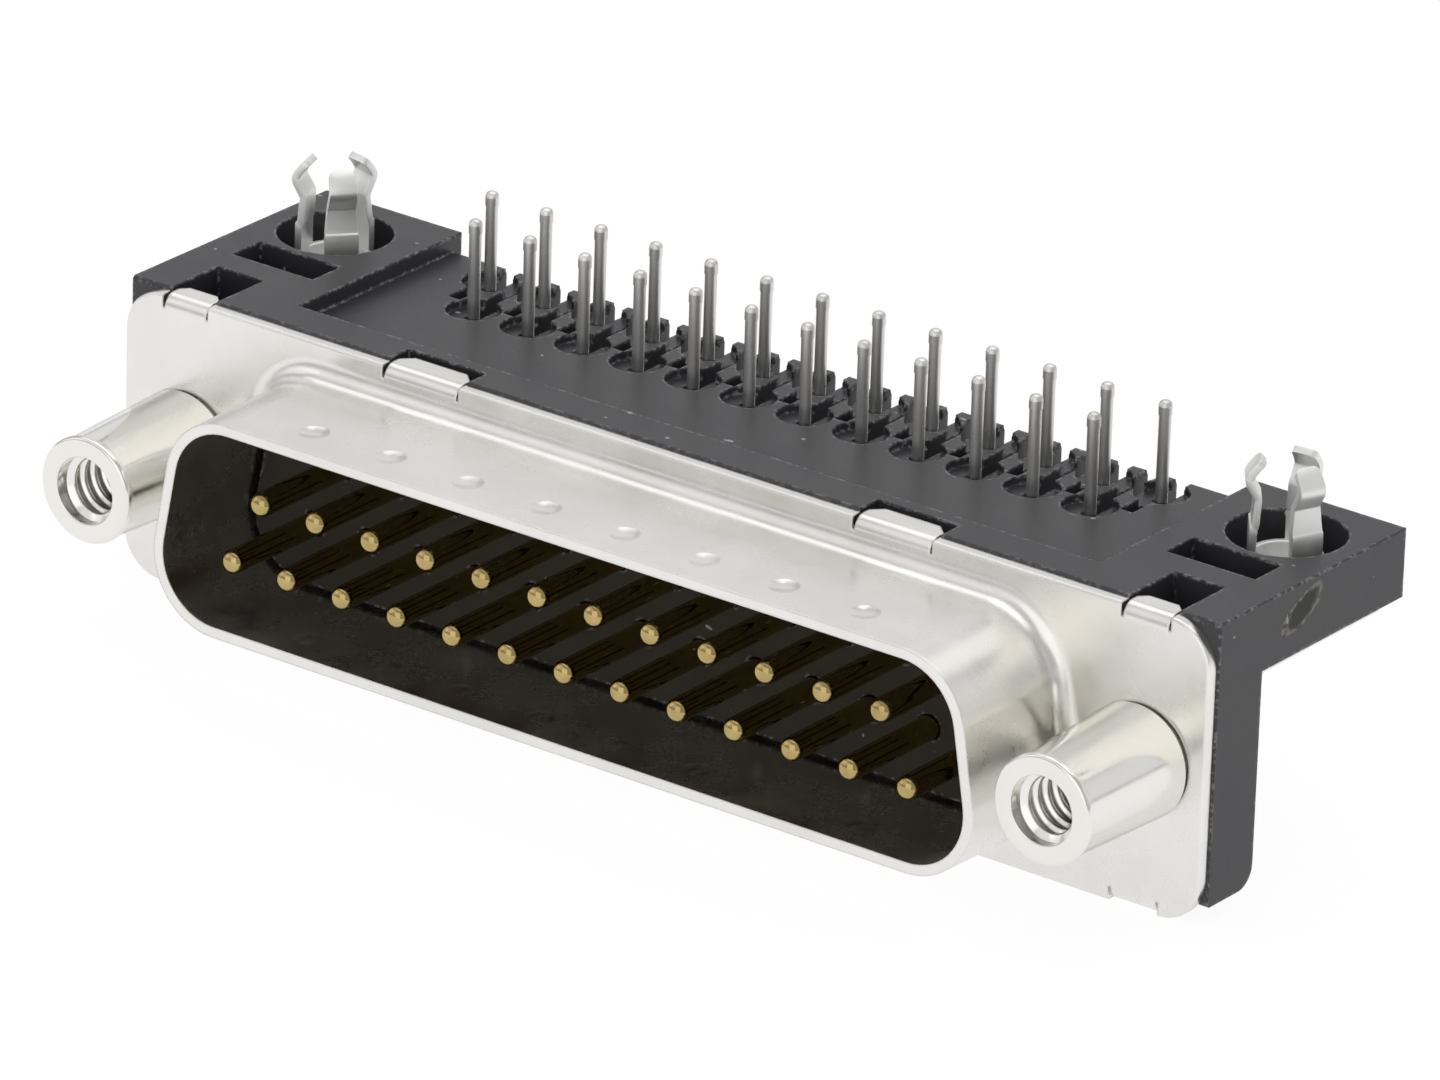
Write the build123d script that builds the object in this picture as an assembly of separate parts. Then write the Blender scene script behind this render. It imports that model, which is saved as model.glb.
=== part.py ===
from build123d import *
from math import radians, tan
import os

# Right-angle 25-way D-sub plug for a circuit board. All sizes are in millimetres.
# The origin is the middle of the plug's D, on the front face of the flange.
# +X runs along the contact rows, +Y from the mating side to the rear, and +Z
# towards the circuit board that the tails go through.

# Contact grid
wide_row_count = 13
pitch = 2.77
row_gap = 2.84

# Stamped shell: flange, hood and the tabs that fold over the housing
sheet = 0.5
flange_end = 3.13
flange_rim = 2.07
flange_corner = 1.9
flange_edge_round = 0.12
hood_end = 2.86
hood_side = 2.76
hood_side_angle = 10.0
hood_corner = 2.6
hood_depth = 6.0
hood_wall = 0.45
hood_draft = 1.5
hood_root = 0.8
dimple_count = 8
dimple_spacing = 3.86
dimple_setback = 4.3
dimple_radius = 1.9
dimple_depth = 0.18
tab_bend = 0.6
tab_relief = 0.12
middle_tab_x = 11.6
middle_tab_width = 3.6
middle_tab_reach = 1.4
middle_tab_corner = 0.5
end_tab_offset = 0.08
end_tab_width = 2.1
end_tab_reach = 1.2
end_tab_corner = 0.35

# Moulded housing: a block behind the flange, a slab that carries the tails, two feet
housing_overhang = 0.08
block_depth = 2.95
block_bottom_gap = 0.75
block_rear_round = 0.9
block_front_chamfer = 0.12
block_top_edge = 0.12
seat_rise = 0.1
slab_thickness = 2.2
slab_step = 0.7
housing_length = 12.45
comb_setback = 0.55
foot_inner = 3.82
front_band = 1.9
boss_rise = 0.2
moulding_gap = 0.05

# Cut-outs in the feet and behind the tabs
lock_from_hood = 4.04
lock_setback = 9.5
lock_recess_radius = 2.4
foot_slot_offset = 0.4
foot_slot_width = 4.15
foot_slot_length = 1.8
foot_slot_setback = 5.85
foot_slot_depth = 2.2
end_pocket_width = 2.35
end_pocket_reach = 3.55
end_pocket_depth = 2.4
middle_pocket_width = 3.9
middle_pocket_reach = 1.75

# Comb that guides the tails
front_tail_setback = 8.08
comb_slot_width = 0.6
dish_radius = 1.15
dish_depth = 0.35
lead_slot_length = 1.45
lead_slot_gap = 0.92
lead_slot_depth = 1.2
scallop_radius = 0.36
scallop_length = 0.7

# Contacts: a round mating pin, a collar held in the housing, a bent leg and a tail
pin_diameter = 1.0
pin_recess = 0.3
pin_dome = 0.42
collar_diameter = 1.36
collar_length = 1.5
leg_diameter = 0.5
leg_bend = 0.9
tail_top = 9.57
tail_bead_diameter = 0.56
tail_bead_length = 0.6
tail_dome = 0.24
fit_gap = 0.05

# Riveted standoffs with a 4-40 UNC thread, drawn at its minor diameter
standoff_length = 6.3
standoff_front_radius = 2.25
standoff_lip = 0.35
standoff_lip_step = 0.07
standoff_base_radius = 2.4
standoff_edge = 0.15
standoff_base_edge = 0.1
thread_length = 6.0
thread_minor_radius = 1.13
thread_mouth_radius = 1.42
shank_radius = 1.6
shank_bore_radius = 1.32
rivet_head_radius = 2.15
rivet_head_height = 0.45

# Earthing brackets and the boardlocks riveted to them
bracket_sheet = 0.35
bracket_width = 5.7
bracket_bend = 0.6
bracket_drop = 4.6
bracket_reach = 11.9
lock_wall = 0.3
lock_radius = 1.5
lock_collar_radius = 1.95
lock_collar_height = 0.35
lock_ring_top = 6.66
prong_count = 3
prong_width = 1.3
prong_corner = 0.3
prong_waist_height = 7.88
prong_waist_radius = 1.37
prong_bulge_height = 8.65
prong_bulge_radius = 1.78
prong_tip_height = 9.5
prong_tip_radius = 1.2
left_prong_angle = 49.0
right_prong_angle = 67.0

# Places worked out from the sizes above
narrow_row_count = wide_row_count - 1
hood_width = (wide_row_count - 1) * pitch + 2 * hood_end
hood_height = row_gap + 2 * hood_side
lock_x = hood_width / 2 + lock_from_hood
flange_width = 2 * (lock_x + flange_end)
flange_height = hood_height + 2 * flange_rim
housing_width = flange_width + 2 * housing_overhang
seat_height = flange_height / 2 + seat_rise
block_drop = flange_height / 2 - block_bottom_gap
end_tab_x = lock_x + end_tab_offset
foot_slot_x = lock_x - foot_slot_offset
block_front = sheet
block_rear = block_front + block_depth
housing_rear = block_front + housing_length
comb_rear = housing_rear - comb_setback
slab_top = seat_height - slab_step
slab_bottom = slab_top - slab_thickness
valley_half = lock_x - foot_inner
back_tail_setback = front_tail_setback + row_gap
pin_tip = -hood_depth + pin_recess
bracket_top = slab_bottom
bracket_bottom = bracket_top - bracket_sheet
bracket_rear = block_rear + bracket_sheet
flange_top = flange_height / 2
over = 1.0
near = 0.01


def front_plane(y, x=0.0, z=0.0):
    """A drawing plane that faces the mating side: its x is +X and its y is +Z."""
    return Plane(origin=(x, y, z), x_dir=(1, 0, 0), z_dir=(0, -1, 0))


def side_plane(x=0.0):
    """A drawing plane across the part: its x is +Y and its y is +Z."""
    return Plane(origin=(x, 0, 0), x_dir=(0, 1, 0), z_dir=(1, 0, 0))


def rod(radius, y_from, y_to, x=0.0, z=0.0):
    """A round bar along Y."""
    return extrude(front_plane(y_to, x, z) * Circle(radius), y_to - y_from)


def post(radius, z_from, z_to, x=0.0, y=0.0):
    """A round bar along Z."""
    return extrude(Plane(origin=(x, y, z_from)) * Circle(radius), z_to - z_from)


def block(x_range, y_range, z_range):
    """A box from its ranges along X, Y and Z."""
    size = [high - low for low, high in (x_range, y_range, z_range)]
    middle = [(high + low) / 2 for low, high in (x_range, y_range, z_range)]
    return Pos(*middle) * Box(*size)


def row_positions(count):
    """The X of each contact in a row, left to right."""
    return [(index - (count - 1) / 2) * pitch for index in range(count)]


def contact_places():
    """X, mating height and tail setback of every contact, the wide row first."""
    wide = [(x, -row_gap / 2, back_tail_setback) for x in row_positions(wide_row_count)]
    narrow = [(x, row_gap / 2, front_tail_setback) for x in row_positions(narrow_row_count)]
    return wide + narrow


def d_outline(width, height, corner):
    """The D with its wide side down. Width is measured half way up."""
    lean = height / 2 * tan(radians(hood_side_angle))
    wide = width / 2 + lean
    narrow = width / 2 - lean
    low, high = -height / 2, height / 2
    sharp = Polygon((-wide, low), (wide, low), (narrow, high), (-narrow, high), align=None)
    return fillet(sharp.vertices(), corner)


def hood_solid(y_from, grow):
    """The D from a plane at y_from out to the rim, narrowing at the draw angle."""
    length = hood_depth + y_from
    spread = length * tan(radians(hood_draft))
    size = 2 * (grow + spread)
    outline = d_outline(hood_width + size, hood_height + size, hood_corner + grow + spread)
    return extrude(front_plane(y_from) * outline, length, taper=hood_draft)


def tab_places():
    """X, width, reach, corner and side (+1 top, -1 bottom) of each folded tab."""
    places = []
    for side in (1, -1):
        for hand in (1, -1):
            places.append((hand * middle_tab_x, middle_tab_width, middle_tab_reach, middle_tab_corner, side))
            places.append((hand * end_tab_x, end_tab_width, end_tab_reach, end_tab_corner, side))
    return places


def folded_tab(x, width, reach, corner, side):
    """A strip that leaves the flange's edge and bends back over the housing."""
    middle = sheet / 2
    start = (middle, side * (flange_top - tab_bend - middle))
    turn = (middle, side * (flange_top - middle))
    end = (reach, side * (flange_top - middle))
    path = FilletPolyline(start, turn, end, radius=tab_bend - middle)
    strip = extrude(side_plane(x) * trace(path, sheet), width / 2, both=True)
    tip_edges = strip.edges().filter_by(Axis.Z).group_by(Axis.Y)[-1]
    return chamfer(tip_edges, corner)


def make_dimples(solid):
    """Presses the earthing dimples of the hood's long walls inwards."""
    inside = hood_height / 2 + dimple_setback * tan(radians(hood_draft))
    outside = inside + hood_wall
    for index in range(dimple_count):
        x = (index - (dimple_count - 1) / 2) * dimple_spacing
        for side in (1, -1):
            centre_height = side * (inside + dimple_radius - dimple_depth)
            bump = Pos(x, -dimple_setback, centre_height) * Sphere(dimple_radius)
            span = (x - dimple_radius, x + dimple_radius)
            rise = sorted((side * (inside - dimple_radius), side * (outside - hood_wall / 2)))
            solid += bump & block(span, (-hood_depth, 0), rise)
            dent = Pos(x, -dimple_setback, side * (outside + dimple_radius - dimple_depth))
            solid -= dent * Sphere(dimple_radius)
    return solid


def make_front_shell():
    plate = extrude(front_plane(sheet) * RectangleRounded(flange_width, flange_height, flange_corner), sheet)
    plate = fillet(plate.edges().group_by(Axis.Y)[0], flange_edge_round)
    shell = plate + hood_solid(0, hood_wall)
    on_face = shell.edges().filter_by_position(Axis.Y, -near, near)
    centres = [(edge, edge.center()) for edge in on_face]
    half_width, half_height = lock_x - shank_radius, flange_top - sheet
    root = [edge for edge, at in centres if abs(at.X) < half_width and abs(at.Z) < half_height]
    shell = fillet(root, hood_root)
    shell -= hood_solid(sheet, 0)
    for x, width, reach, corner, side in tab_places():
        edge_band = sorted((side * (flange_top - tab_bend), side * (flange_top + over)))
        half = width / 2 + tab_relief
        shell -= block((x - half, x + half), (-over, sheet + over), edge_band)
        shell += folded_tab(x, width, reach, corner, side)
    for hand in (1, -1):
        shell -= rod(shank_radius + fit_gap, -over, sheet + over, hand * lock_x)
    return make_dimples(shell)


def make_housing():
    section = Polygon(
        (block_front, -block_drop),
        (block_rear, -block_drop),
        (block_rear, slab_bottom),
        (housing_rear, slab_bottom),
        (housing_rear, seat_height),
        (block_front, seat_height),
        align=None,
    )
    body = extrude(side_plane() * section, housing_width / 2, both=True)
    low_edges = body.edges().filter_by(Axis.X).group_by(Axis.Z)[0].sort_by(Axis.Y)
    body = fillet(low_edges[-1], block_rear_round)
    low_edges = body.edges().filter_by(Axis.X).group_by(Axis.Z)[0].sort_by(Axis.Y)
    body = chamfer(low_edges[0], block_front_chamfer)
    high_edges = body.edges().filter_by(Axis.X).group_by(Axis.Z)[-1].sort_by(Axis.Y)
    body = chamfer(high_edges[0], block_top_edge)
    valley_run = (block_front + front_band, housing_rear + over)
    body -= block((-valley_half, valley_half), valley_run, (slab_top, seat_height + over))
    rear_run = (comb_rear, housing_rear + over)
    body -= block((-valley_half, valley_half), rear_run, (slab_bottom - over, seat_height + over))
    boss = d_outline(hood_width - 2 * moulding_gap, hood_height - 2 * moulding_gap, hood_corner)
    body += extrude(front_plane(block_front) * boss, block_front + boss_rise)
    body -= tab_pockets()
    body -= foot_cutouts()
    body -= tail_comb()
    return body - contact_channels()


def tab_pockets():
    """Room for the tabs that fold over the top edge of the block."""
    floor = flange_top - sheet - moulding_gap
    lead = tab_bend + 2 * moulding_gap
    pockets = []
    for hand in (1, -1):
        for x, width, reach, bottom in (
            (middle_tab_x, middle_pocket_width, middle_pocket_reach, floor),
            (end_tab_x, end_pocket_width, end_pocket_reach, seat_height - end_pocket_depth),
        ):
            middle = hand * x
            span = (middle - width / 2, middle + width / 2)
            pockets.append(block(span, (block_front - over, reach), (bottom, seat_height + over)))
            ramp = Polygon((block_front, floor - lead / 2), (lead, floor), (block_front, floor), align=None)
            pockets.append(extrude(side_plane(middle) * ramp, width / 2, both=True))
    return pockets


def foot_cutouts():
    """The boardlock recess, the slot and the standoff's hole at each end."""
    cuts = []
    for hand in (1, -1):
        x = hand * lock_x
        cuts.append(post(lock_recess_radius, slab_bottom - over, seat_height + over, x, lock_setback))
        cuts.append(rod(shank_radius + fit_gap, -over, block_rear + over, x))
        slot_x = hand * foot_slot_x
        cuts.append(
            block(
                (slot_x - foot_slot_width / 2, slot_x + foot_slot_width / 2),
                (foot_slot_setback - foot_slot_length / 2, foot_slot_setback + foot_slot_length / 2),
                (seat_height - foot_slot_depth, seat_height + over),
            )
        )
    return cuts


def tail_comb():
    """For each tail, a slot open to the rear, a dish round it and a scalloped mouth."""
    cuts = []
    half = comb_slot_width / 2
    for x, _, tail_y in contact_places():
        through = (slab_bottom - over, slab_top + over)
        cuts.append(block((x - half, x + half), (tail_y - half, comb_rear + over), through))
        cuts.append(post(dish_radius, slab_top - dish_depth, slab_top + over, x, tail_y))
        mouth = comb_rear - scallop_length
        cuts.append(rod(scallop_radius, mouth, comb_rear + over, x, slab_top))
        if tail_y == back_tail_setback:
            lead_end = tail_y - lead_slot_gap
            lead = (lead_end - lead_slot_length, lead_end)
            cuts.append(block((x - half, x + half), lead, (slab_top - lead_slot_depth, slab_top + over)))
    return cuts


def contact_channels():
    """Stepped holes through the block: the pin in front, the collar at the rear."""
    cuts = []
    collar_front = block_rear - collar_length
    for x, z, _ in contact_places():
        cuts.append(rod(pin_diameter / 2 + fit_gap, -over, block_rear + over, x, z))
        cuts.append(rod(collar_diameter / 2 + fit_gap, collar_front, block_rear + over, x, z))
    return cuts


def make_contact(x, z, tail_y):
    """One contact: pin, collar, bent leg and tail in one piece."""
    collar_front = block_rear - collar_length
    pin = rod(pin_diameter / 2, pin_tip, collar_front, x, z)
    pin = fillet(pin.edges().group_by(Axis.Y)[0], pin_dome)
    collar = rod(collar_diameter / 2, collar_front, block_rear, x, z)
    start = (x, block_rear - fit_gap, z)
    bead_bottom = tail_top - tail_bead_length
    path = FilletPolyline(start, (x, tail_y, z), (x, tail_y, bead_bottom), radius=leg_bend)
    leg = sweep(Plane(origin=start, z_dir=(0, 1, 0)) * Circle(leg_diameter / 2), path)
    bead = post(tail_bead_diameter / 2, bead_bottom, tail_top, x, tail_y)
    bead = fillet(bead.edges().group_by(Axis.Z)[-1], tail_dome)
    return pin + collar + leg + bead


def make_standoff(x):
    """A turned standoff, its shank through the flange, block and bracket, headed over."""
    front = -standoff_length
    mouth = thread_mouth_radius - thread_minor_radius
    lip_rear = front + standoff_lip
    barrel_radius = standoff_front_radius - standoff_lip_step
    thread_end = front + thread_length
    bore_step = shank_bore_radius - thread_minor_radius
    head = bracket_rear + rivet_head_height
    section = Polygon(
        (thread_minor_radius, front + mouth),
        (thread_mouth_radius, front),
        (standoff_front_radius - standoff_edge, front),
        (standoff_front_radius, front + standoff_edge),
        (standoff_front_radius, lip_rear),
        (barrel_radius, lip_rear + standoff_lip_step),
        (standoff_base_radius, -standoff_base_edge),
        (standoff_base_radius - standoff_base_edge, 0),
        (shank_radius, 0),
        (shank_radius, bracket_rear),
        (rivet_head_radius, bracket_rear),
        (shank_radius, head),
        (shank_bore_radius, head),
        (shank_bore_radius, thread_end + bore_step),
        (thread_minor_radius, thread_end),
        align=None,
    )
    turned = revolve(Plane.XY * section, Axis.Y)
    return Pos(x, 0, 0) * turned


def make_bracket(x):
    """An L of sheet metal: up the back of the block, then under the foot."""
    middle = bracket_sheet / 2
    turn = (block_rear + middle, bracket_top - middle)
    path = FilletPolyline(
        (turn[0], -bracket_drop), turn, (bracket_reach, turn[1]), radius=bracket_bend
    )
    strip = extrude(side_plane(x) * trace(path, bracket_sheet), bracket_width / 2, both=True)
    strip -= rod(shank_radius + fit_gap, block_rear - over, bracket_rear + over, x)
    return strip - post(lock_radius + fit_gap, bracket_bottom - over, bracket_top + over, x, lock_setback)


def make_boardlock(x, prong_angle):
    """A sleeve riveted to the bracket, with three sprung prongs for the board's hole."""
    inner = lock_radius - lock_wall
    collar_top = bracket_top + lock_collar_height
    flare = bracket_bottom - lock_wall
    sleeve = Polygon(
        (inner, flare),
        (lock_collar_radius, flare),
        (lock_collar_radius, bracket_bottom),
        (lock_radius, bracket_bottom),
        (lock_radius, bracket_top),
        (lock_collar_radius, bracket_top),
        (lock_collar_radius, collar_top),
        (lock_radius, collar_top),
        (lock_radius, lock_ring_top),
        (inner, lock_ring_top),
        align=None,
    )
    prong = Polygon(
        (inner, lock_ring_top - lock_wall),
        (lock_radius, lock_ring_top - lock_wall),
        (lock_radius, lock_ring_top),
        (prong_waist_radius, prong_waist_height),
        (prong_bulge_radius, prong_bulge_height),
        (prong_tip_radius, prong_tip_height),
        (prong_tip_radius - lock_wall, prong_tip_height),
        (prong_bulge_radius - lock_wall, prong_bulge_height),
        (prong_waist_radius - lock_wall, prong_waist_height),
        (inner, lock_ring_top),
        align=None,
    )
    half = prong_width / 2
    front_view = Polygon(
        (-half, lock_ring_top - lock_wall),
        (half, lock_ring_top - lock_wall),
        (half, prong_tip_height - prong_corner),
        (half - prong_corner, prong_tip_height),
        (prong_corner - half, prong_tip_height),
        (-half, prong_tip_height - prong_corner),
        align=None,
    )
    ring = revolve(Plane.XZ * sleeve, Axis.Z)
    crown = revolve(Plane.XZ * prong, Axis.Z)
    strip = extrude(Plane.YZ * front_view, lock_recess_radius)
    for index in range(prong_count):
        ring += crown & Rot(0, 0, prong_angle - 90 + index * 360 / prong_count) * strip
    return Pos(x, lock_setback, 0) * ring


os.makedirs("parts", exist_ok=True)
export_step(make_front_shell(), "parts/front_shell.step")
export_step(make_housing(), "parts/housing.step")
for number, place in enumerate(contact_places(), start=1):
    export_step(make_contact(*place), f"parts/contact_{number:02d}.step")
for side_name, hand, angle in (("left", -1, left_prong_angle), ("right", 1, right_prong_angle)):
    export_step(make_standoff(hand * lock_x), f"parts/standoff_{side_name}.step")
    export_step(make_bracket(hand * lock_x), f"parts/ground_bracket_{side_name}.step")
    export_step(make_boardlock(hand * lock_x, angle), f"parts/boardlock_{side_name}.step")
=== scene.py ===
# %% [markdown]
# # A right-angle D-sub plug for a circuit board
# This lesson dresses a measured model of a 25-way plug: a stamped metal shell, a black moulding,
# 25 contacts, two threaded standoffs and two sprung boardlocks. The measured solids are loaded
# first and never moved. Pieces whose real form is finer than the solids, such as a screw thread,
# are modelled here by hand and stand in for them.

# %% Load the measured parts
import math

import bpy
from mathutils import Matrix, Vector


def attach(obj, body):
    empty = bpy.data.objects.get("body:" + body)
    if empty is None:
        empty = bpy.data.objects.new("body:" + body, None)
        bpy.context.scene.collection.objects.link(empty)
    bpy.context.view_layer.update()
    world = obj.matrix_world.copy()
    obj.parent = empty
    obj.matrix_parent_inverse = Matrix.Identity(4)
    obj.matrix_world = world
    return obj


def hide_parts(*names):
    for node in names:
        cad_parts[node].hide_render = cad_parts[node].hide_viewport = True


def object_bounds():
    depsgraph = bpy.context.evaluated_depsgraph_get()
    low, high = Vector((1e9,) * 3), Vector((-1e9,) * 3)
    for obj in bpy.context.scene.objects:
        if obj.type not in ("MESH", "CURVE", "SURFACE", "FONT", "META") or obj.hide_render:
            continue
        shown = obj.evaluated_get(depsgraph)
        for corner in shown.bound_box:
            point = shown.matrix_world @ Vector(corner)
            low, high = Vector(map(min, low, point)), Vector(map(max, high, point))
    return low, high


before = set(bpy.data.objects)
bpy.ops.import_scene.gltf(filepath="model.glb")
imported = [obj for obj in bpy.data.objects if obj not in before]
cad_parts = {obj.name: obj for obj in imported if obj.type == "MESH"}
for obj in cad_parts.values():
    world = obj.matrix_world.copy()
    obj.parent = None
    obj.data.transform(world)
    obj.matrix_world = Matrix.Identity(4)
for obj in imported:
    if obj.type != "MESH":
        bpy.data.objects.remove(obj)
measured_low, measured_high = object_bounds()
MM = 0.001
print("measured nodes:", len(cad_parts))

# %% [markdown]
# ## The camera
# The plug was seen from its front right, a little above, through a long lens. The camera is placed
# on that line and turned by its own right, up and back directions, so the roll of the picture
# is kept. A long lens from half a metre flattens the view as a product photograph does.

# %% Place the camera
azimuth, elevation, roll = math.radians(36.39), math.radians(23.11), math.radians(1.88)
distance, slide_right, slide_up = 493.4 * MM, 2.80 * MM, 2.28 * MM
picture_width, focal_pixels, sensor_width = 1440, 12581, 36.0

back = Vector((
    math.sin(azimuth) * math.cos(elevation),
    -math.cos(azimuth) * math.cos(elevation),
    math.sin(elevation),
))
level_right = Vector((math.cos(azimuth), math.sin(azimuth), 0))
level_up = back.cross(level_right)
right = math.cos(roll) * level_right + math.sin(roll) * level_up
up = math.cos(roll) * level_up - math.sin(roll) * level_right

camera_data = bpy.data.cameras.new("camera")
camera_data.sensor_width = sensor_width
camera_data.lens = focal_pixels / picture_width * sensor_width
camera_data.clip_start, camera_data.clip_end = 0.01, 10
camera = bpy.data.objects.new("camera", camera_data)
bpy.context.collection.objects.link(camera)
turn = Matrix((right, up, back)).transposed().to_4x4()
camera.matrix_world = Matrix.Translation(back * distance + right * slide_right + up * slide_up) @ turn
bpy.context.scene.camera = camera
print("lens:", round(camera_data.lens, 1), "mm")

# %% [markdown]
# ## Helpers for finishes
# A finish is a small tree of nodes round one Principled shader. Patterns read Object coordinates,
# which are metres here, so a noise scale of 1000 gives spots about a millimetre wide.

# %% Helpers for finishes
def new_finish(name):
    """An empty finish with its shader, and a function that adds a linked node."""
    finish = bpy.data.materials.new(name)
    finish.use_nodes = True
    tree = finish.node_tree
    tree.nodes.clear()
    shader = tree.nodes.new("ShaderNodeBsdfPrincipled")
    output = tree.nodes.new("ShaderNodeOutputMaterial")
    tree.links.new(shader.outputs["BSDF"], output.inputs["Surface"])
    return finish, tree, shader


def place(tree, stretch=(1, 1, 1)):
    """Object coordinates, stretched to draw a pattern out along an axis."""
    coordinates = tree.nodes.new("ShaderNodeTexCoord")
    mapping = tree.nodes.new("ShaderNodeMapping")
    mapping.inputs["Scale"].default_value = stretch
    tree.links.new(coordinates.outputs["Object"], mapping.inputs["Vector"])
    return mapping.outputs["Vector"]


def speckle(tree, scale, detail=3.0, stretch=(1, 1, 1), roughness=0.5):
    """A noise pattern from 0 to 1."""
    noise = tree.nodes.new("ShaderNodeTexNoise")
    noise.inputs["Scale"].default_value = scale
    noise.inputs["Detail"].default_value = detail
    noise.inputs["Roughness"].default_value = roughness
    tree.links.new(place(tree, stretch), noise.inputs["Vector"])
    return noise.outputs["Fac"]


def remap(tree, value, low, high, new_low, new_high):
    """Spreads a value over a new range, with both ends held."""
    node = tree.nodes.new("ShaderNodeMapRange")
    node.inputs["From Min"].default_value = low
    node.inputs["From Max"].default_value = high
    node.inputs["To Min"].default_value = new_low
    node.inputs["To Max"].default_value = new_high
    tree.links.new(value, node.inputs["Value"])
    return node.outputs["Result"]


def combine(tree, operation, first, second):
    """One sum, product or comparison of two values, either of which may be a plain number."""
    node = tree.nodes.new("ShaderNodeMath")
    node.operation = operation
    for socket, value in zip(node.inputs, (first, second)):
        if isinstance(value, (int, float)):
            socket.default_value = value
        else:
            tree.links.new(value, socket)
    return node.outputs["Value"]


def blend_colours(tree, share, colour_a, colour_b):
    """Mixes two colours by a share. Either colour may come from another node."""
    node = tree.nodes.new("ShaderNodeMix")
    node.data_type = "RGBA"
    tree.links.new(share, node.inputs["Factor"])
    for socket, colour in ((node.inputs[6], colour_a), (node.inputs[7], colour_b)):
        if isinstance(colour, tuple):
            socket.default_value = (*colour, 1)
        else:
            tree.links.new(colour, socket)
    return node.outputs[2]


def axis_value(tree, axis):
    """The X, Y or Z of the point being coloured, in metres."""
    split = tree.nodes.new("ShaderNodeSeparateXYZ")
    tree.links.new(place(tree), split.inputs["Vector"])
    return split.outputs[axis]


def raise_surface(tree, shader, height, strength, depth):
    """Bump from a height pattern, over edges softened by the Bevel node."""
    bump = tree.nodes.new("ShaderNodeBump")
    bump.inputs["Strength"].default_value = strength
    bump.inputs["Distance"].default_value = depth
    tree.links.new(height, bump.inputs["Height"])
    tree.links.new(bump.outputs["Normal"], shader.inputs["Normal"])
    return bump


def soften_edges(tree, bump, radius):
    """Rounds sharp edges in the shading, as a tool's worn corners do."""
    bevel = tree.nodes.new("ShaderNodeBevel")
    bevel.samples = 6
    bevel.inputs["Radius"].default_value = radius
    tree.links.new(bevel.outputs["Normal"], bump.inputs["Normal"])


print("finish helpers ready")

# %% [markdown]
# ## Plated sheet
# The shell is steel sheet with a satin tin plating. Plating is never quite even: soft cloudy
# patches change how sharply it mirrors the room. Two noises, one broad and one fine, steer the
# roughness, and a third gives the faint orange-peel of drawn metal.

# %% Plated sheet
def make_plated_sheet():
    finish, tree, shader = new_finish("plated_sheet")
    cloud = speckle(tree, 260, 4)
    grain = speckle(tree, 2600, 3)
    patches = remap(tree, cloud, 0.35, 0.65, 0, 1)
    tone = blend_colours(tree, patches, (0.84, 0.83, 0.80), (0.91, 0.90, 0.88))
    tree.links.new(tone, shader.inputs["Base Color"])
    shader.inputs["Metallic"].default_value = 1.0
    cloudy = remap(tree, cloud, 0.3, 0.7, 0.20, 0.34)
    satin = combine(tree, "ADD", cloudy, remap(tree, grain, 0.3, 0.7, -0.02, 0.02))
    tree.links.new(satin, shader.inputs["Roughness"])
    broad = combine(tree, "MULTIPLY", speckle(tree, 170, 2), 4.0)
    fine = combine(tree, "ADD", speckle(tree, 420, 2), combine(tree, "MULTIPLY", grain, 0.05))
    waves = combine(tree, "ADD", broad, fine)
    bump = raise_surface(tree, shader, waves, 0.22, 0.12 * MM)
    soften_edges(tree, bump, 0.14 * MM)
    return finish


plated_sheet = make_plated_sheet()
print("made", plated_sheet.name)

# %% [markdown]
# ## Black moulding
# The housing is a glass-filled plastic: near black, satin, with a very fine grain. Three marks tell
# that it was moulded and handled. The gate, where plastic entered the mould, left a rough oval on
# the right end. Edges are rubbed paler in places: the Bevel node rounds the normal there, so where
# it turns away from the flat normal there is an edge. Very few specks of dust lie on the faces.
# The insulator inside the hood is coloured darker and browner, as painted shade for the hollow of the hood,
# where little light reaches, and it is duller.

# %% Marks on the moulding
def edge_share(tree, radius):
    """Near 1 on an edge and 0 on a flat, from how far a bevelled normal turns from the true one."""
    bevel = tree.nodes.new("ShaderNodeBevel")
    bevel.samples = 6
    bevel.inputs["Radius"].default_value = radius
    true_normal = tree.nodes.new("ShaderNodeNewGeometry")
    agree = tree.nodes.new("ShaderNodeVectorMath")
    agree.operation = "DOT_PRODUCT"
    tree.links.new(bevel.outputs["Normal"], agree.inputs[0])
    tree.links.new(true_normal.outputs["True Normal"], agree.inputs[1])
    return remap(tree, agree.outputs["Value"], 0.99, 0.90, 0, 1)


gate_setback, gate_height, gate_tilt = 6.00 * MM, 5.20 * MM, 0.42
gate_half_length, gate_half_width = 1.50 * MM, 0.62 * MM
end_face = measured_high.x - 0.05 * MM


def weighted_sum(tree, first, first_share, second, second_share):
    """The sum of two values, each times a plain number."""
    first_part = combine(tree, "MULTIPLY", first, first_share)
    return combine(tree, "ADD", first_part, combine(tree, "MULTIPLY", second, second_share))


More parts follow.
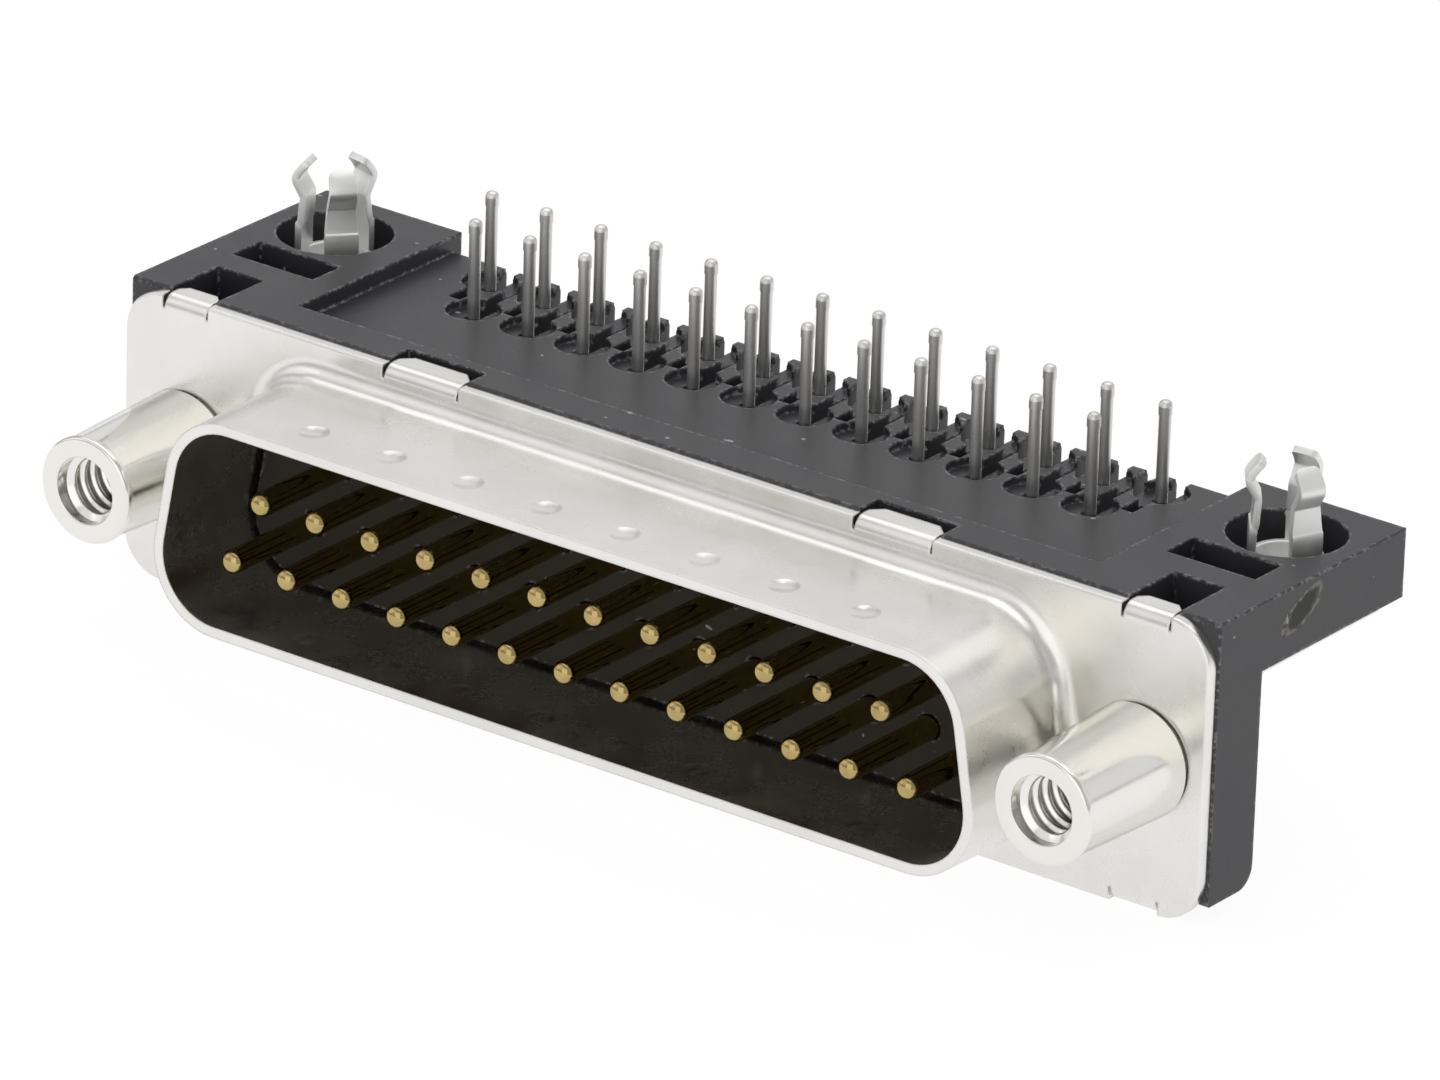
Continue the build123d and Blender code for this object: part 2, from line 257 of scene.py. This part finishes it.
def gate_mark(tree):
    """A ragged oval on the right end face: its inside, and its rim."""
    y = combine(tree, "SUBTRACT", axis_value(tree, "Y"), gate_setback)
    z = combine(tree, "SUBTRACT", axis_value(tree, "Z"), gate_height)
    along = weighted_sum(tree, y, math.cos(gate_tilt), z, math.sin(gate_tilt))
    across = weighted_sum(tree, z, math.cos(gate_tilt), y, -math.sin(gate_tilt))
    long_part = combine(tree, "POWER", combine(tree, "DIVIDE", along, gate_half_length), 2)
    short_part = combine(tree, "POWER", combine(tree, "DIVIDE", across, gate_half_width), 2)
    reach = combine(tree, "ADD", combine(tree, "ADD", long_part, short_part), speckle(tree, 2600, 4))
    on_end = combine(tree, "GREATER_THAN", axis_value(tree, "X"), end_face)
    inside = combine(tree, "MULTIPLY", on_end, remap(tree, reach, 1.55, 1.40, 0, 1))
    return inside, remap(tree, reach, 0.85, 1.25, 0, 1)


print("gate mark:", round(2 * gate_half_length / MM, 2), "mm long")


# %% Black moulding
def make_black_moulding():
    finish, tree, shader = new_finish("black_moulding")
    cloud = speckle(tree, 300, 4)
    grain = speckle(tree, 9000, 3)
    blotch = speckle(tree, 4200, 4)
    patches = remap(tree, cloud, 0.3, 0.7, 0, 1)
    plain = blend_colours(tree, patches, (0.029, 0.029, 0.034), (0.040, 0.040, 0.048))
    # painted shade: inside the hood the insulator is coloured darker and browner, because the hollow gets
    # little light
    in_hood = remap(tree, axis_value(tree, "Y"), 0.2 * MM, 0.5 * MM, 1, 0)
    plain = blend_colours(tree, in_hood, plain, (0.028, 0.023, 0.015))
    rubbed = combine(tree, "MULTIPLY", edge_share(tree, 0.26 * MM), remap(tree, blotch, 0.50, 0.60, 0, 0.8))
    worn = blend_colours(tree, rubbed, plain, (0.30, 0.30, 0.31))
    gate, rim = gate_mark(tree)
    patchy = combine(tree, "MULTIPLY", rim, remap(tree, blotch, 0.36, 0.52, 0.15, 1))
    torn = blend_colours(tree, patchy, (0.016, 0.015, 0.013), (0.22, 0.21, 0.175))
    marked = blend_colours(tree, combine(tree, "MULTIPLY", gate, 0.85), worn, torn)
    dust = remap(tree, speckle(tree, 1900, 0), 0.845, 0.855, 0, 0.6)
    tree.links.new(blend_colours(tree, dust, marked, (0.5, 0.5, 0.5)), shader.inputs["Base Color"])
    cloudy = remap(tree, cloud, 0.3, 0.7, 0.33, 0.43)
    satin = combine(tree, "ADD", cloudy, remap(tree, grain, 0.3, 0.7, -0.03, 0.03))
    duller = weighted_sum(tree, gate, 0.25, in_hood, 0.36)
    tree.links.new(combine(tree, "ADD", satin, duller), shader.inputs["Roughness"])
    rough_gate = combine(tree, "MULTIPLY", gate, combine(tree, "MULTIPLY", blotch, 4.0))
    bump = raise_surface(tree, shader, combine(tree, "ADD", grain, rough_gate), 0.25, 0.02 * MM)
    soften_edges(tree, bump, 0.16 * MM)
    return finish


black_moulding = make_black_moulding()
print("made", black_moulding.name)

# %% [markdown]
# ## Contacts, gold at one end and tin at the other
# Each contact is gold where it mates and tin where it is soldered. The change lies inside the
# housing, so the finish simply switches colour with depth along Y. Only the drawn tin legs carry
# streaks along their length.

# %% Gold and tin
def make_contact_finish():
    finish, tree, shader = new_finish("gold_and_tin")
    behind = remap(tree, axis_value(tree, "Y"), 2.0 * MM, 3.0 * MM, 0, 1)
    streak = speckle(tree, 2500, 3, (1, 1, 0.05))
    gold = blend_colours(tree, speckle(tree, 1800, 2), (0.36, 0.27, 0.10), (0.62, 0.48, 0.21))
    tin = blend_colours(tree, remap(tree, streak, 0.3, 0.7, 0, 1), (0.64, 0.64, 0.62), (0.90, 0.89, 0.87))
    tree.links.new(blend_colours(tree, behind, gold, tin), shader.inputs["Base Color"])
    shader.inputs["Metallic"].default_value = 1.0
    legs_only = combine(tree, "MULTIPLY", streak, behind)
    drawn = combine(tree, "MULTIPLY", legs_only, 0.12)
    rough = combine(tree, "ADD", remap(tree, behind, 0, 1, 0.07, 0.34), drawn)
    tree.links.new(rough, shader.inputs["Roughness"])
    raise_surface(tree, shader, legs_only, 0.15, 0.02 * MM)
    return finish


gold_and_tin = make_contact_finish()
print("made", gold_and_tin.name)

# %% [markdown]
# ## Bright metal for the turned and sprung parts
# The standoffs are turned, so their fine tool marks run round the Y axis: noise squeezed along Y
# and stretched across it. The boardlocks and brackets are bright tin over sheet.

# %% Turned nickel and bright tin
def make_turned_nickel():
    finish, tree, shader = new_finish("turned_nickel")
    rings = speckle(tree, 900, 2, (0.04, 6, 0.04))
    cloud = speckle(tree, 500, 3)
    tone = blend_colours(tree, cloud, (0.86, 0.85, 0.81), (0.92, 0.91, 0.88))
    tree.links.new(tone, shader.inputs["Base Color"])
    shader.inputs["Metallic"].default_value = 1.0
    cloudy = remap(tree, cloud, 0.3, 0.7, 0.12, 0.20)
    rough = combine(tree, "ADD", cloudy, remap(tree, rings, 0.3, 0.7, -0.02, 0.03))
    tree.links.new(rough, shader.inputs["Roughness"])
    raise_surface(tree, shader, rings, 0.12, 0.02 * MM)
    return finish


def make_bright_tin():
    finish, tree, shader = new_finish("bright_tin")
    cloud = speckle(tree, 700, 3)
    tone = blend_colours(tree, cloud, (0.88, 0.88, 0.87), (0.95, 0.95, 0.94))
    tree.links.new(tone, shader.inputs["Base Color"])
    shader.inputs["Metallic"].default_value = 0.80
    tree.links.new(remap(tree, cloud, 0.3, 0.7, 0.36, 0.48), shader.inputs["Roughness"])
    raise_surface(tree, shader, speckle(tree, 1500, 3), 0.12, 0.03 * MM)
    return finish


turned_nickel = make_turned_nickel()
bright_tin = make_bright_tin()
print("made", turned_nickel.name, "and", bright_tin.name)

# %% [markdown]
# ## Give each measured node its finish
# A node's own shape is kept. Only its material slots are filled.

# %% Dress the measured nodes
def dress(node_name, finish):
    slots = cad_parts[node_name].material_slots
    for slot in slots:
        slot.material = finish


dress("front_shell", plated_sheet)
dress("housing", black_moulding)
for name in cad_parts:
    if name.startswith("contact_"):
        dress(name, gold_and_tin)
    elif name.startswith("standoff_"):
        dress(name, turned_nickel)
    elif name.startswith(("ground_bracket_", "boardlock_")):
        dress(name, bright_tin)
print("dressed", len(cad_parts), "nodes")

# %% [markdown]
# ## Helpers for hand modelling
# A turned part starts as a circle that is extruded from station to station along its profile,
# and each new ring is scaled to its radius. A rounded edge is a few stations along an arc. Every
# piece ends with its place in its mesh, so its object sits unturned at the origin.

# %% Helpers for hand modelling
def start_piece(name):
    """Names the primitive that was just added and opens it for editing, all selected."""
    piece = bpy.context.object
    piece.name = name
    bpy.ops.object.transform_apply(location=True, rotation=True, scale=True)
    bpy.ops.object.mode_set(mode="EDIT")
    bpy.ops.mesh.select_all(action="SELECT")
    return piece


def next_ring(old, new):
    """Extrudes the selected ring along Z and scales it from the axis. Sizes are in mm."""
    bpy.ops.mesh.extrude_region_move(TRANSFORM_OT_translate={"value": (0, 0, (new[1] - old[1]) * MM)})
    scale = new[0] / old[0]
    bpy.ops.transform.resize(value=(scale, scale, 1), center_override=(0, 0, 0))


def rounded(centre, radius, start, end, steps=4):
    """Stations along an arc of a profile. Angles are in degrees from the radial direction."""
    angles = [math.radians(start + (end - start) * step / steps) for step in range(steps + 1)]
    return [(centre[0] + radius * math.cos(angle), centre[1] + radius * math.sin(angle)) for angle in angles]


def turn_profile(name, stations, segments=96):
    """Turns a closed profile round Z. Each station is a radius and a height in mm."""
    bpy.ops.object.select_all(action="DESELECT")
    radius, height = stations[0]
    bpy.ops.mesh.primitive_circle_add(vertices=segments, radius=radius * MM, location=(0, 0, height * MM))
    piece = start_piece(name)
    for old, new in zip(stations, stations[1:] + stations[:1]):
        next_ring(old, new)
    bpy.ops.mesh.select_all(action="SELECT")
    bpy.ops.mesh.remove_doubles(threshold=0.0005 * MM)
    bpy.ops.mesh.normals_make_consistent(inside=False)
    bpy.ops.object.mode_set(mode="OBJECT")
    return piece


def pick(piece, test):
    """Selects only the points of a piece whose place passes a test, and stays in edit mode."""
    bpy.ops.mesh.select_mode(type="VERT")
    bpy.ops.mesh.select_all(action="DESELECT")
    bpy.ops.object.mode_set(mode="OBJECT")
    for vertex in piece.data.vertices:
        vertex.select = test(vertex.co)
    bpy.ops.object.mode_set(mode="EDIT")


def apply_modifiers(piece):
    """Applies every modifier of a piece, first to last."""
    bpy.ops.object.select_all(action="DESELECT")
    piece.select_set(True)
    bpy.context.view_layer.objects.active = piece
    for modifier in list(piece.modifiers):
        bpy.ops.object.modifier_apply(modifier=modifier.name)


def set_down(piece, place_at, turn_x=0.0, turn_z=0.0):
    """Turns and moves a finished piece, and puts that place into its mesh. In mm and degrees."""
    piece.rotation_euler = (math.radians(turn_x), 0, math.radians(turn_z))
    piece.location = Vector(place_at) * MM
    bpy.ops.object.select_all(action="DESELECT")
    piece.select_set(True)
    bpy.context.view_layer.objects.active = piece
    bpy.ops.object.transform_apply(location=True, rotation=True, scale=True)


def join_pieces(name, pieces):
    """Makes one object of several."""
    bpy.ops.object.select_all(action="DESELECT")
    for piece in pieces:
        piece.select_set(True)
    bpy.context.view_layer.objects.active = pieces[0]
    bpy.ops.object.join()
    pieces[0].name = name
    return pieces[0]


def copy_piece(piece, name):
    """A copy with its own mesh."""
    bpy.ops.object.select_all(action="DESELECT")
    piece.select_set(True)
    bpy.context.view_layer.objects.active = piece
    bpy.ops.object.duplicate(linked=False)
    twin = bpy.context.object
    twin.name = name
    return twin


def smooth(piece, angle):
    """Smooth shading that keeps edges sharper than the angle, in degrees."""
    bpy.ops.object.select_all(action="DESELECT")
    piece.select_set(True)
    bpy.context.view_layer.objects.active = piece
    bpy.ops.object.shade_smooth_by_angle(angle=math.radians(angle))


def hand_over(piece, finish, slot_name, *nodes):
    """Gives a finished piece its finish and puts it in place of the measured nodes."""
    piece.data.materials.clear()
    piece.data.materials.append(finish)
    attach(piece, "root")
    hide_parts(*nodes)
    print(piece.name, "faces:", len(piece.data.polygons))


print("modelling helpers ready")

# %% [markdown]
# ## Standoffs with a real thread
# Each standoff is a turned tube with a rounded front lip, a barrel that widens towards the flange
# and ends in a fine undercut, and a shank that is riveted over at the back. Its bore carries a
# 4-40 screw thread. The tube is turned with its bore at the thread's root, and the thread is a
# ridge of V section wound up the bore by the Screw modifier, which is how a helix is best made:
# one section, many turns.

# %% Turn the standoff
front, lip_rear = 6.3, 5.95
front_radius, barrel_radius, base_radius = 2.25, 2.18, 2.4
thread_root, thread_crest, thread_pitch, thread_end = 1.42, 1.13, 0.635, 0.3
shank_radius, shank_bore, bracket_back, head_back, head_radius = 1.6, 1.32, -3.8, -4.25, 2.15

outline = []
outline += rounded((front_radius - 0.16, front - 0.16), 0.16, 90, 0, 6)
outline += rounded((front_radius - 0.08, lip_rear + 0.08), 0.08, 0, -60, 3)
outline += rounded((barrel_radius + 0.06, lip_rear - 0.07), 0.06, 120, 180, 3)
outline += rounded((base_radius - 0.12, 0.24), 0.12, 0, -90, 5)
outline += [(base_radius - 0.26, 0.12), (base_radius - 0.26, 0.0)]
outline += [(shank_radius, 0.0), (shank_radius, bracket_back), (head_radius, bracket_back)]
outline += rounded((head_radius - 0.3, bracket_back - 0.12), 0.3, -10, -80, 4)
outline += [(shank_bore + 0.15, head_back), (shank_bore, head_back + 0.12), (shank_bore, thread_end - 0.1)]
outline += [(thread_root, thread_end + 0.1), (thread_root, front - 0.08)]
outline += rounded((thread_root + 0.05, front - 0.05), 0.05, 180, 90, 3)
tube = turn_profile("standoff_tube", outline)
print("tube stations:", len(outline))

# %% Wind the thread
half_root, half_crest, buried, turns = 0.268, 0.09, 0.06, 8
depth = thread_root + buried - thread_crest
bpy.ops.object.select_all(action="DESELECT")
bpy.ops.mesh.primitive_plane_add(size=1, rotation=(math.radians(90), 0, 0))
thread = start_piece("standoff_thread")
bpy.ops.transform.resize(value=(depth * MM, 1, 2 * half_root * MM), center_override=(0, 0, 0))
bpy.ops.transform.translate(value=((thread_crest + depth / 2) * MM, 0, 0))
pick(thread, lambda point: point.x < thread_root * MM)
bpy.ops.transform.resize(value=(1, 1, half_crest / half_root), center_override=(0, 0, 0))
bpy.ops.mesh.bevel(offset=0.06 * MM, segments=3, affect="VERTICES")
bpy.ops.mesh.select_all(action="SELECT")
bpy.ops.mesh.delete(type="ONLY_FACE")
bpy.ops.object.mode_set(mode="OBJECT")
winding = thread.modifiers.new("winding", "SCREW")
winding.axis, winding.angle, winding.screw_offset = "Z", 2 * math.pi, thread_pitch * MM
winding.iterations, winding.steps, winding.render_steps = turns, 48, 48
apply_modifiers(thread)
bpy.ops.object.mode_set(mode="EDIT")
bpy.ops.mesh.select_mode(type="VERT")
bpy.ops.mesh.select_all(action="DESELECT")
bpy.ops.mesh.select_non_manifold()
bpy.ops.mesh.edge_face_add()
bpy.ops.mesh.select_all(action="SELECT")
bpy.ops.mesh.normals_make_consistent(inside=False)
bpy.ops.object.mode_set(mode="OBJECT")
set_down(thread, (0, 0, thread_end + half_root + 0.12))
print("thread faces:", len(thread.data.polygons), "length:", round(thread.dimensions.z / MM, 2), "mm")

# %% Place both standoffs
lock_x = 23.52  # half of the 47.04 mm between the fixings
standoff_right = join_pieces("standoff_right_turned", [tube, thread])
smooth(standoff_right, 35)
standoff_left = copy_piece(standoff_right, "standoff_left_turned")
set_down(standoff_right, (lock_x, 0, 0), turn_x=90)
set_down(standoff_left, (-lock_x, 0, 0), turn_x=90)
hand_over(standoff_right, turned_nickel, "turned_steel", "standoff_right")
hand_over(standoff_left, turned_nickel, "turned_steel", "standoff_left")

# %% [markdown]
# ## Sprung boardlocks
# A boardlock is a rolled sleeve of thin tin-plated sheet. Three flat tongues stand up from its low
# rim, step in at a crease, narrow to a waist, bend sharply out to a bulge, and curl in at the tip.
# The sleeve is turned. One tongue is a plane whose top edge is extruded from station to station
# and made narrower on the way. Its tip corners are rounded, and the Solidify modifier gives it the
# sheet's thickness. It is modelled once and copied round the sleeve.

# %% Turn the sleeve
sheet_gauge, lock_radius, flange_radius, lock_setback = 0.3, 1.5, 1.95, 9.5
bracket_under, bracket_over, rim_height = 3.1, 3.45, 5.5

sleeve_outline = [(lock_radius - sheet_gauge, bracket_under - sheet_gauge)]
sleeve_outline += rounded((flange_radius - 0.1, bracket_under - sheet_gauge + 0.1), 0.1, -90, 0, 3)
sleeve_outline += [(flange_radius, bracket_under), (lock_radius, bracket_under), (lock_radius, bracket_over)]
sleeve_outline += [(flange_radius, bracket_over)]
sleeve_outline += rounded((flange_radius - 0.12, bracket_over + 0.23), 0.12, 0, 90, 4)
sleeve_outline += rounded((lock_radius + 0.15, bracket_over + 0.5), 0.15, 270, 180, 4)
sleeve_outline += rounded((lock_radius - 0.07, rim_height - 0.07), 0.07, 0, 90, 3)
sleeve_outline += rounded((lock_radius - sheet_gauge + 0.07, rim_height - 0.07), 0.07, 90, 180, 3)
sleeve = turn_profile("boardlock_sleeve", sleeve_outline)
print("sleeve stations:", len(sleeve_outline))

# %% Shape one tongue
# Each station is the distance from the lock's axis, the height and the width, in mm.
tongue = [(1.5, 5.1, 1.4), (1.5, 6.4, 1.4), (1.5, 6.76, 1.38), (1.49, 6.83, 1.37), (1.43, 6.89, 1.36)]
tongue += [(1.41, 7.0, 1.34), (1.355, 7.84, 1.18), (1.36, 7.89, 1.17), (1.4, 7.96, 1.16), (1.54, 8.2, 1.15)]
tongue += [(1.65, 8.39, 1.14), (1.71, 8.53, 1.14), (1.73, 8.66, 1.13), (1.71, 8.8, 1.12), (1.63, 8.96, 1.11)]
tongue += [(1.52, 9.12, 1.09), (1.39, 9.29, 1.06), (1.14, 9.54, 1.02)]

bpy.ops.object.select_all(action="DESELECT")
bpy.ops.mesh.primitive_plane_add(size=MM, rotation=(math.radians(90), 0, 0))
prong = start_piece("boardlock_tongue")
first, second = tongue[0], tongue[1]
bpy.ops.transform.resize(value=(first[2], 1, second[1] - first[1]), center_override=(0, 0, 0))
bpy.ops.transform.translate(value=(0, -first[0] * MM, (first[1] + second[1]) / 2 * MM))
pick(prong, lambda point: point.z > (second[1] - 0.01) * MM)
for old, new in zip(tongue[1:], tongue[2:]):
    step = (0, (old[0] - new[0]) * MM, (new[1] - old[1]) * MM)
    bpy.ops.mesh.extrude_region_move(TRANSFORM_OT_translate={"value": step})
    bpy.ops.transform.resize(value=(new[2] / old[2], 1, 1), center_override=(0, 0, 0))
bpy.ops.mesh.bevel(offset=0.25 * MM, segments=5, affect="VERTICES")
bpy.ops.mesh.select_all(action="SELECT")
bpy.ops.mesh.normals_make_consistent(inside=False)
bpy.ops.object.mode_set(mode="OBJECT")
if prong.data.polygons[0].normal.y > 0:
    prong.data.flip_normals()
gauge = prong.modifiers.new("gauge", "SOLIDIFY")
gauge.thickness, gauge.offset, gauge.use_even_offset = sheet_gauge * MM, -1, True
softened = prong.modifiers.new("softened", "BEVEL")
softened.width, softened.segments, softened.limit_method = 0.04 * MM, 3, "ANGLE"
softened.angle_limit = math.radians(60)
apply_modifiers(prong)
print("tongue faces:", len(prong.data.polygons))

# %% Copy the tongue round both sleeves
def make_boardlock(name, x, first_turn):
    """A sleeve with three tongues. The turns are in degrees, anticlockwise from above."""
    pieces = [copy_piece(sleeve, name + "_sleeve")]
    for index in range(3):
        copy = copy_piece(prong, name + "_tongue")
        set_down(copy, (0, 0, 0), turn_z=first_turn + 120 * index)
        pieces.append(copy)
    lock = join_pieces(name, pieces)
    smooth(lock, 32)
    set_down(lock, (x, lock_setback, 0))
    return lock


hand_over(make_boardlock("boardlock_left_sprung", -lock_x, 49), bright_tin, "lock_metal", "boardlock_left")
hand_over(make_boardlock("boardlock_right_sprung", lock_x, 67), bright_tin, "lock_metal", "boardlock_right")
for pattern in (sleeve, prong):
    bpy.data.objects.remove(pattern)

# %% [markdown]
# ## Floor and light
# A white sweep and soft boxes, as in a product photograph. The floor is plain and pale; for the
# camera and for mirror-like metal it also glows, so it reads as white with a trace of shadow. The
# boxes are large, so metal shows broad bright bands with greyer gaps between them. The one in front
# is warm: the flange throws it back onto the standoffs as a cream band. The high one on the left
# draws the bright line along the round where the hood meets the flange, and the one behind on the
# right fills the dark side of the right standoff.

# %% Floor
floor_drop = 0.05 * MM
bpy.ops.object.select_all(action="DESELECT")
floor_place = (0, 0, measured_low.z - floor_drop)
bpy.ops.mesh.primitive_grid_add(x_subdivisions=4, y_subdivisions=4, size=6, location=floor_place)
floor = bpy.context.object
floor.name = "floor"
bpy.ops.object.transform_apply(location=True, rotation=True, scale=True)

paper, tree, shader = new_finish("white_paper")
shader.inputs["Base Color"].default_value = (0.90, 0.90, 0.90, 1)
shader.inputs["Roughness"].default_value = 0.9
glow = tree.nodes.new("ShaderNodeEmission")
glow.inputs["Strength"].default_value = 1.04
rays = tree.nodes.new("ShaderNodeLightPath")
to_camera = combine(tree, "MULTIPLY", rays.outputs["Is Camera Ray"], 0.9)
to_metal = combine(tree, "MULTIPLY", rays.outputs["Is Glossy Ray"], 0.66)
share = combine(tree, "MAXIMUM", to_camera, to_metal)
mix = tree.nodes.new("ShaderNodeMixShader")
tree.links.new(share, mix.inputs[0])
tree.links.new(shader.outputs["BSDF"], mix.inputs[1])
tree.links.new(glow.outputs["Emission"], mix.inputs[2])
output = next(node for node in tree.nodes if node.type == "OUTPUT_MATERIAL")
tree.links.new(mix.outputs["Shader"], output.inputs["Surface"])
floor.data.materials.append(paper)
print("floor at", round(measured_low.z / MM, 2), "mm")

# %% World and lamps
world = bpy.data.worlds.new("studio")
bpy.context.scene.world = world
world.use_nodes = True
sky = world.node_tree
room = sky.nodes["Background"]
room.inputs["Color"].default_value = (0.48, 0.48, 0.48, 1)
room.inputs["Strength"].default_value = 1.0


def soft_box(name, place_at, size, brightness, colour=(1, 1, 1)):
    """A square area lamp that faces the plug. Brightness is what it adds in a mirror."""
    lamp_data = bpy.data.lights.new(name, "AREA")
    lamp_data.color = colour
    lamp_data.shape = "SQUARE"
    lamp_data.size = size
    lamp_data.energy = brightness * math.pi * size * size
    lamp = bpy.data.objects.new(name, lamp_data)
    bpy.context.collection.objects.link(lamp)
    lamp.location = place_at
    lamp.rotation_mode = "QUATERNION"
    lamp.rotation_quaternion = Vector(place_at).to_track_quat("Z", "Y")
    return lamp


soft_box("box_over", (0.0, 0.15, 0.75), 0.70, 0.90, (1.0, 0.985, 0.95))
soft_box("box_left", (-0.75, -0.35, 0.35), 0.50, 0.45)
soft_box("box_left_high", (-0.48, 0.13, 0.72), 0.44, 0.70)
soft_box("box_left_front", (-0.44, -0.54, 0.53), 0.60, 0.32, (1.0, 0.985, 0.95))
soft_box("box_right", (0.80, 0.10, 0.36), 0.40, 0.15)
soft_box("box_back", (-0.45, 0.85, 0.42), 0.70, 0.30)
soft_box("box_back_high", (0.15, 0.75, 0.62), 0.45, 0.50, (1.0, 0.96, 0.88))
soft_box("box_back_right", (0.54, 0.65, 0.25), 0.42, 0.27)
soft_box("box_front", (0.26, -0.85, 0.33), 0.95, 0.66, (1.0, 0.97, 0.90))

bpy.context.scene.view_settings.view_transform = "Standard"
